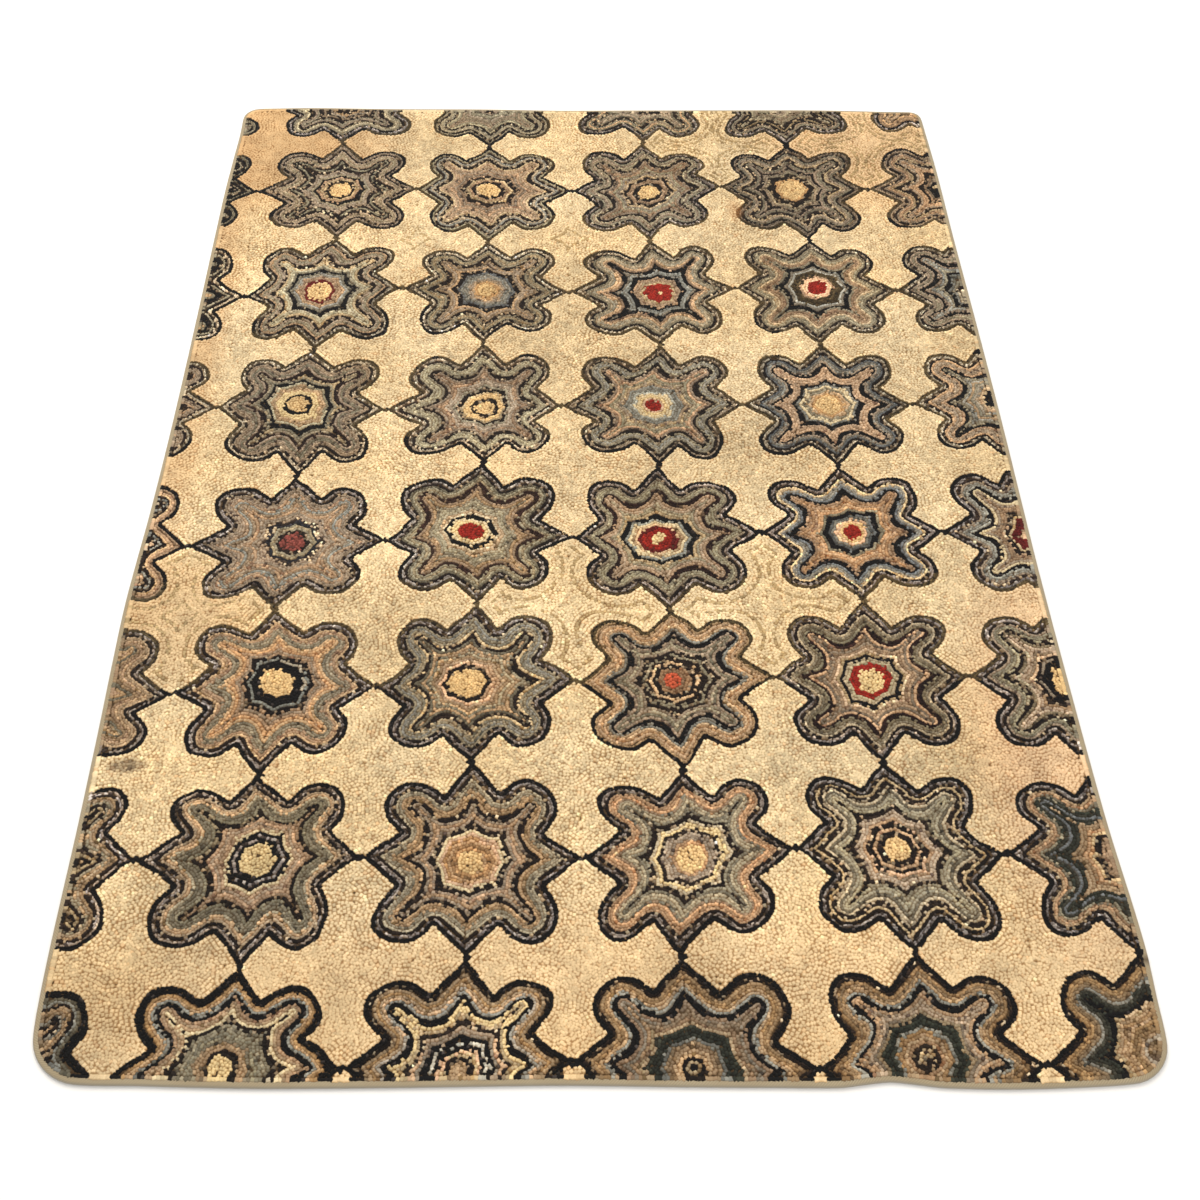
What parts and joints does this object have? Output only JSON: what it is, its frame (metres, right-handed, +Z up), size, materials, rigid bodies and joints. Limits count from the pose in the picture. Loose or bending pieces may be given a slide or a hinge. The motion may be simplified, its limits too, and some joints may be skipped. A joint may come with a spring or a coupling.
{
  "type": "hooked rug",
  "caption": "Flat hooked wool rug with a low loop pile in a star and cross repeat, and a tape binding folded round its uneven edge and rounded corners.",
  "frame": {"origin": "on the floor under the middle of the rug", "axes": "+X across the rug, +Y along its length towards the narrower end, +Z up through the pile"},
  "size_m": [1.48, 2.155, 0.009],
  "materials": {
    "wool_loops": "low loop pile of hand-dyed wool in cream, tan, grey, rose, blue, green and near-black rows",
    "cotton_tape": "plain khaki cotton twill tape, folded and sewn"
  },
  "bodies": {
    "root": {"hooked_field": "wool_loops", "edge_binding": "cotton_tape"}
  },
  "joints": []
}
